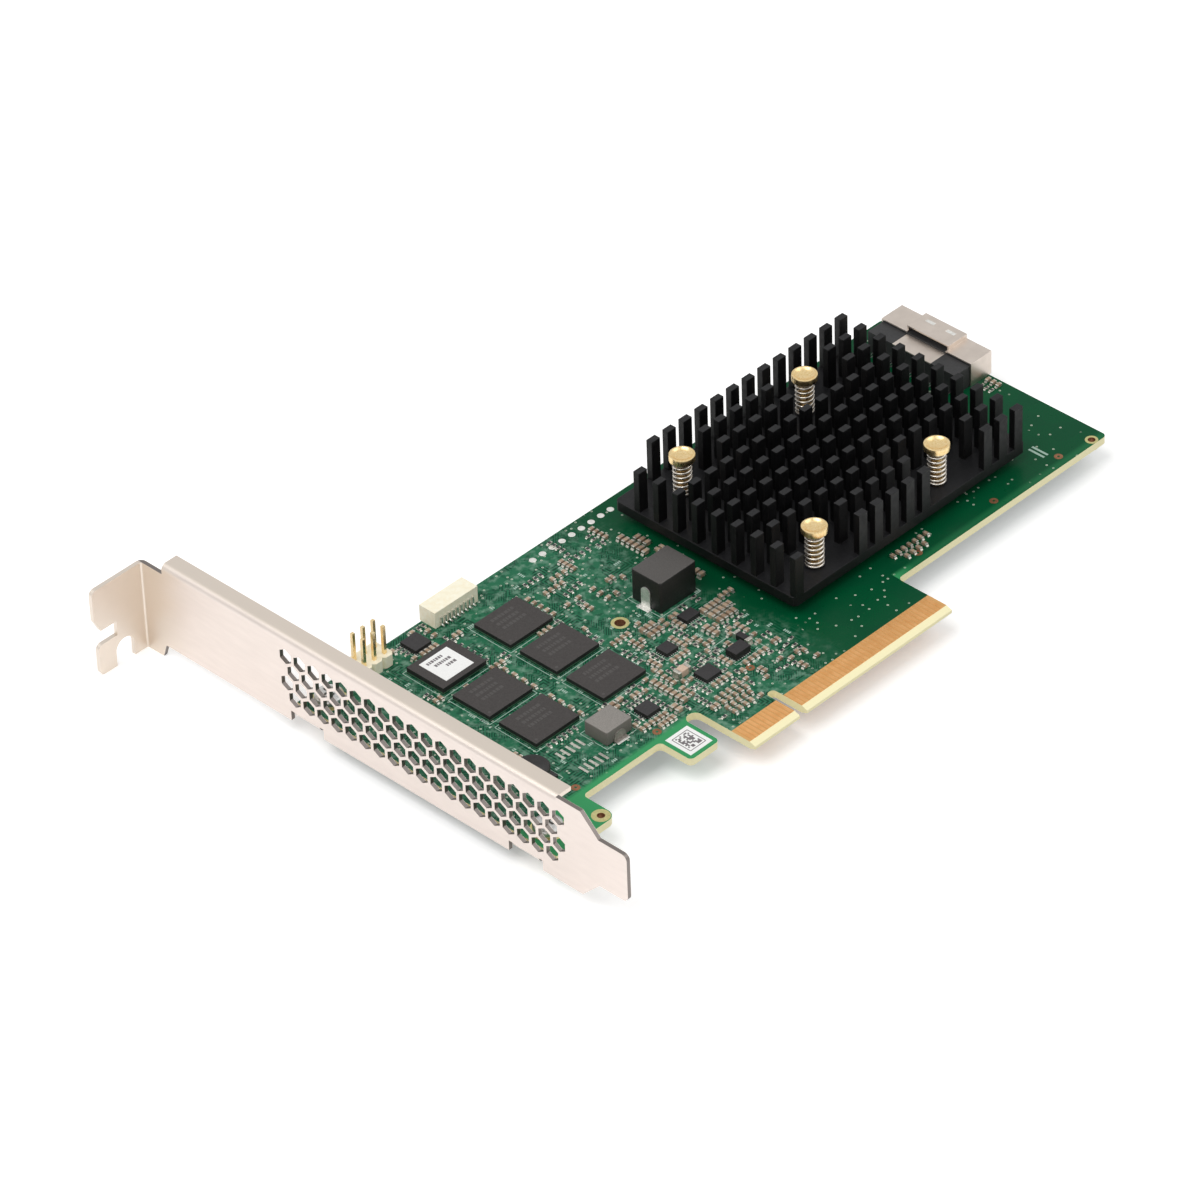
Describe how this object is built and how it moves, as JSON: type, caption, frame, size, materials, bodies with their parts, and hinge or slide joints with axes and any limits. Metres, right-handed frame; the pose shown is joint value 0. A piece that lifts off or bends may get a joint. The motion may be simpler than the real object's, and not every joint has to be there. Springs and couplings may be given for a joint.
{
  "type": "raid controller card",
  "caption": "Low-profile server storage controller card with edge contacts, pin-fin heatsink, memory chips, rear cable port and perforated slot bracket.",
  "frame": {"origin": "middle of the key slot at the edge contacts' tip, on the component face of the board", "axes": "+X from the slot bracket towards the board's rear edge, +Y from the contacts' tip towards the top edge, +Z out of the component face"},
  "size_m": [0.1697, 0.1209, 0.0213],
  "materials": {
    "capacitor_ceramic": "satin",
    "bracket_steel": "bright plated",
    "screw_steel": "bright",
    "choke_ferrite": "matt",
    "laminate": "satin solder mask",
    "package_black": "matt",
    "lid_metal": "satin",
    "package_substrate": "satin",
    "contact_gold": "gold plated",
    "label_paper": "matt",
    "cream_plastic": "satin",
    "heatsink_black": "black anodised",
    "inductor_ferrite": "matt",
    "terminal_tin": "tin plated",
    "port_plastic": "matt",
    "port_steel": "bright plated",
    "spring_steel": "bright",
    "screw_brass": "bright",
    "thermal_pad": "matt"
  },
  "bodies": {
    "root": {"back_capacitors": "capacitor_ceramic", "bracket": "bracket_steel", "bracket_screws": "screw_steel", "ceramic_capacitors": "capacitor_ceramic", "choke_core": "choke_ferrite", "choke_terminals": "terminal_tin", "circuit_board": "laminate", "clinch_nuts": "screw_brass", "clock_chip": "package_black", "controller_lid": "lid_metal", "controller_package": "package_substrate", "edge_contacts_back": "contact_gold", "edge_contacts_front": "contact_gold", "flash_chip": "package_black", "flash_label": "label_paper", "header_base": "cream_plastic", "header_pins": "contact_gold", "heatsink": "heatsink_black", "inductor_core": "inductor_ferrite", "inductor_terminals": "terminal_tin", "memory_chip_1": "package_black", "memory_chip_2": "package_black", "memory_chip_3": "package_black", "memory_chip_4": "package_black", "memory_chip_5": "package_black", "monitor_chip": "package_black", "port_ground_plate": "port_steel", "port_insulator": "port_plastic", "port_leads": "contact_gold", "port_shell": "port_steel", "power_diode": "package_black", "power_inductor_core": "inductor_ferrite", "power_inductor_terminals": "terminal_tin", "power_stage": "package_black", "regulator_chip_1": "package_black", "regulator_chip_2": "package_black", "regulator_chip_3": "package_black", "screw_springs": "spring_steel", "socket_housing": "cream_plastic", "socket_pins": "contact_gold", "spring_screws": "screw_brass", "tab_label": "label_paper", "tantalum_capacitor": "capacitor_ceramic", "thermal_pad": "thermal_pad"}
  },
  "joints": []
}
